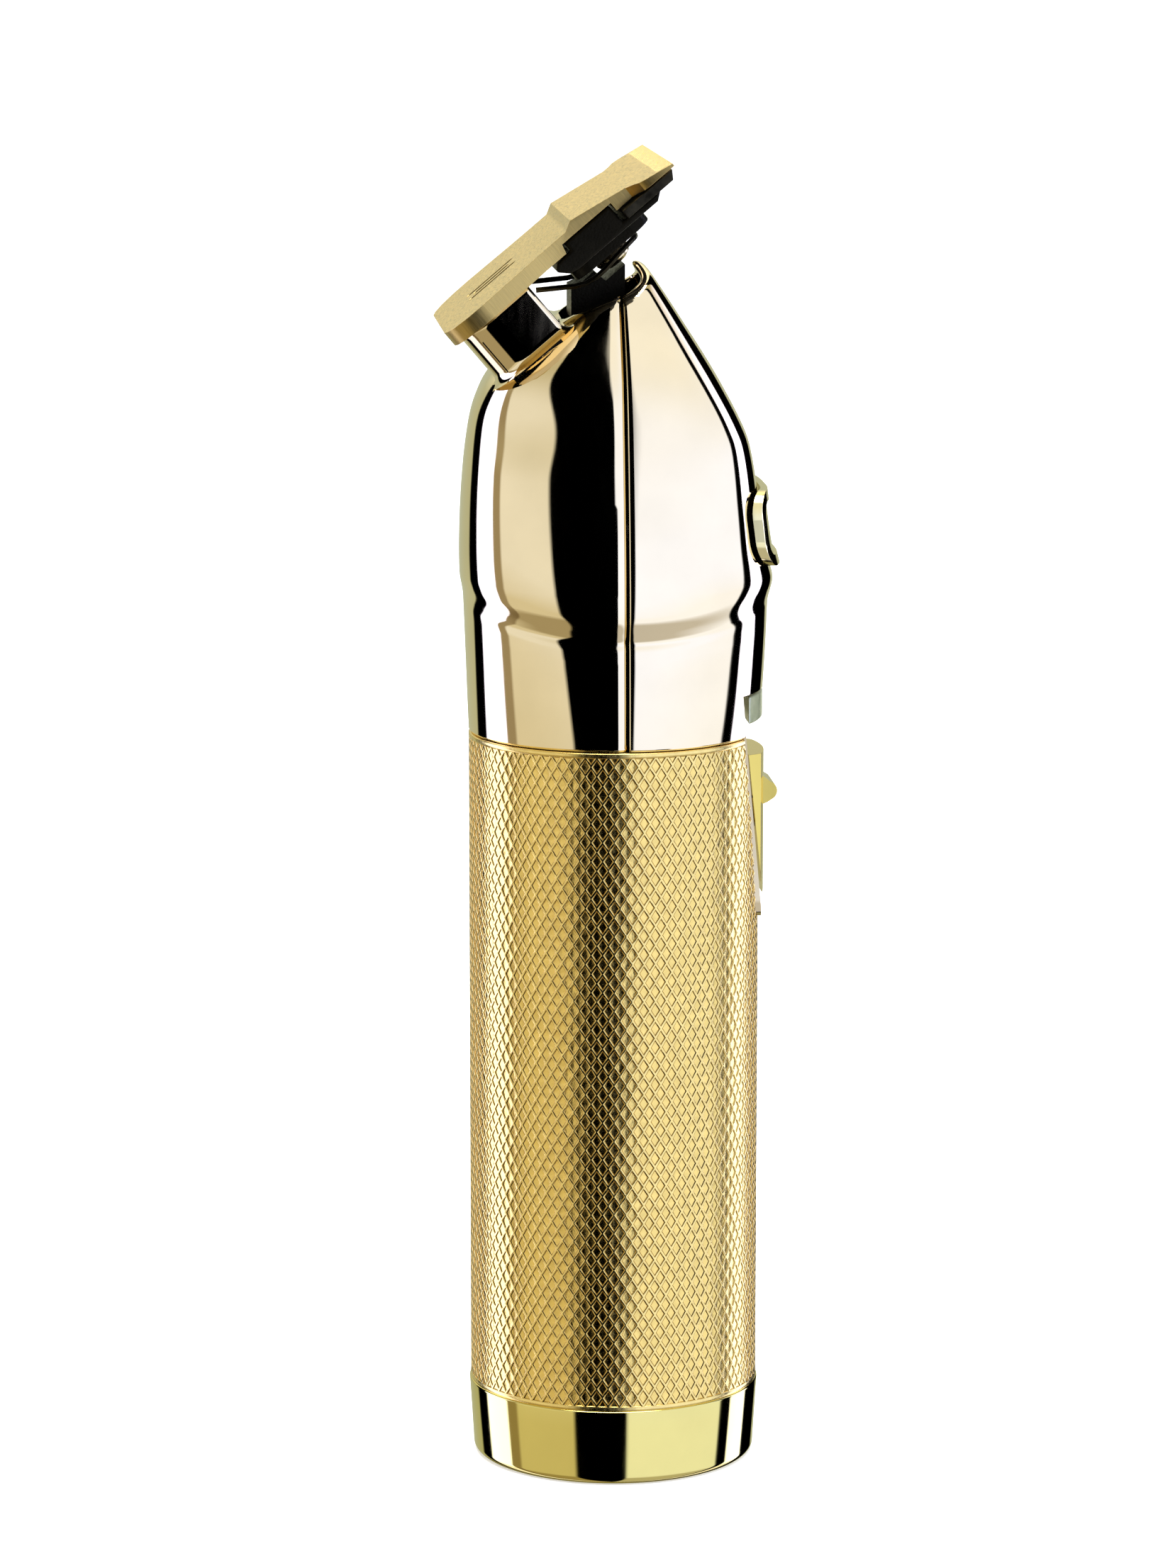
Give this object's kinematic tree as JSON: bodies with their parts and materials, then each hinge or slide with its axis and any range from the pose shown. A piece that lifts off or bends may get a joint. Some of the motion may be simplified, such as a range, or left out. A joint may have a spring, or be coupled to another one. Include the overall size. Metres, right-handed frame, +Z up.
{
  "type": "cordless hair trimmer",
  "caption": "Cordless T-blade hair trimmer: knurled gold barrel, polished two-piece head, slanted wide-toothed blade driven by a motor and rocking lever, thumb slide switch.",
  "frame": {"origin": "centre of the flat base, where the trimmer stands", "axes": "+Z up along the barrel's axis to the blade, +X to the front, where the thumb switch is"},
  "size_m": [0.0405, 0.0378, 0.1586],
  "materials": {
    "satin_gold": "satin knurled gold plate",
    "polished_gold": "polished champagne gold plate",
    "yellow_gold": "polished yellow gold plate",
    "blade_gold": "blasted and brushed gold-coated steel",
    "black_blade_steel": "dark coated steel",
    "bright_steel": "bright steel",
    "contact_metal": "gold-plated contact",
    "black_plastic": "black moulded plastic",
    "grey_plastic": "grey moulded plastic",
    "battery_wrap": "blue shrink wrap",
    "board": "green solder mask",
    "magnet": "sintered magnet",
    "lens": "milky translucent",
    "red_insulation": "red wire insulation"
  },
  "bodies": {
    "housing": {"tail_ring": "yellow_gold", "end_plate": "black_plastic", "charge_socket": "black_plastic", "socket_pin": "bright_steel", "base_screw_left": "bright_steel", "base_screw_right": "bright_steel", "charge_contact_left": "contact_metal", "charge_contact_right": "contact_metal", "barrel_sleeve": "satin_gold", "chassis": "grey_plastic", "battery_cell": "battery_wrap", "battery_tab_top": "bright_steel", "battery_tab_bottom": "bright_steel", "circuit_board": "board", "switch_module": "black_plastic", "status_led": "lens", "join_collar": "black_plastic", "battery_lead_red": "red_insulation", "battery_lead_black": "black_plastic", "motor_wire_red": "red_insulation", "motor_wire_black": "black_plastic", "motor_can": "bright_steel", "motor_cap": "black_plastic", "motor_magnet_left": "magnet", "motor_magnet_right": "magnet", "motor_plate": "black_plastic", "motor_screw_left": "bright_steel", "motor_screw_right": "bright_steel", "lever_bracket": "grey_plastic", "pivot_pin": "bright_steel", "back_shell": "polished_gold", "front_shell": "polished_gold", "indicator_lens": "lens", "spine_plaque": "yellow_gold", "shell_clip_left": "black_plastic", "shell_clip_right": "black_plastic", "fixed_blade": "blade_gold", "blade_screw_left": "bright_steel", "blade_screw_right": "bright_steel", "tension_spring": "black_blade_steel"},
    "rotor": {"motor_rotor": "bright_steel"},
    "lever": {"drive_lever": "black_plastic", "drive_stud": "contact_metal"},
    "cutter": {"moving_blade": "black_blade_steel", "cutter_block": "black_plastic", "yoke_plate": "black_plastic"},
    "slider": {"switch_slider": "yellow_gold", "switch_knob": "black_plastic"}
  },
  "joints": [
    {"name": "motor_spin", "type": "hinge", "parent": "housing", "child": "rotor", "pos_m": [0, 0, 0.1], "axis": [0, 0, 1], "continuous": true},
    {"name": "lever_rock", "type": "hinge", "parent": "housing", "child": "lever", "pos_m": [0, 0, 0.126], "axis": [1, 0, 0], "range_deg": [-3.6, 3.6]},
    {"name": "cutter_shuttle", "type": "slide", "parent": "housing", "child": "cutter", "axis": [0, 1, 0], "range_m": [-0.0014, 0.0014]},
    {"name": "switch_slide", "type": "slide", "parent": "housing", "child": "slider", "axis": [-0.1109, 0, 0.9938], "range_m": [0, 0.003]}
  ],
  "couplings": [
    {"joint": "lever_rock", "follows": "cutter_shuttle", "rad_per_m": -44.44}
  ]
}
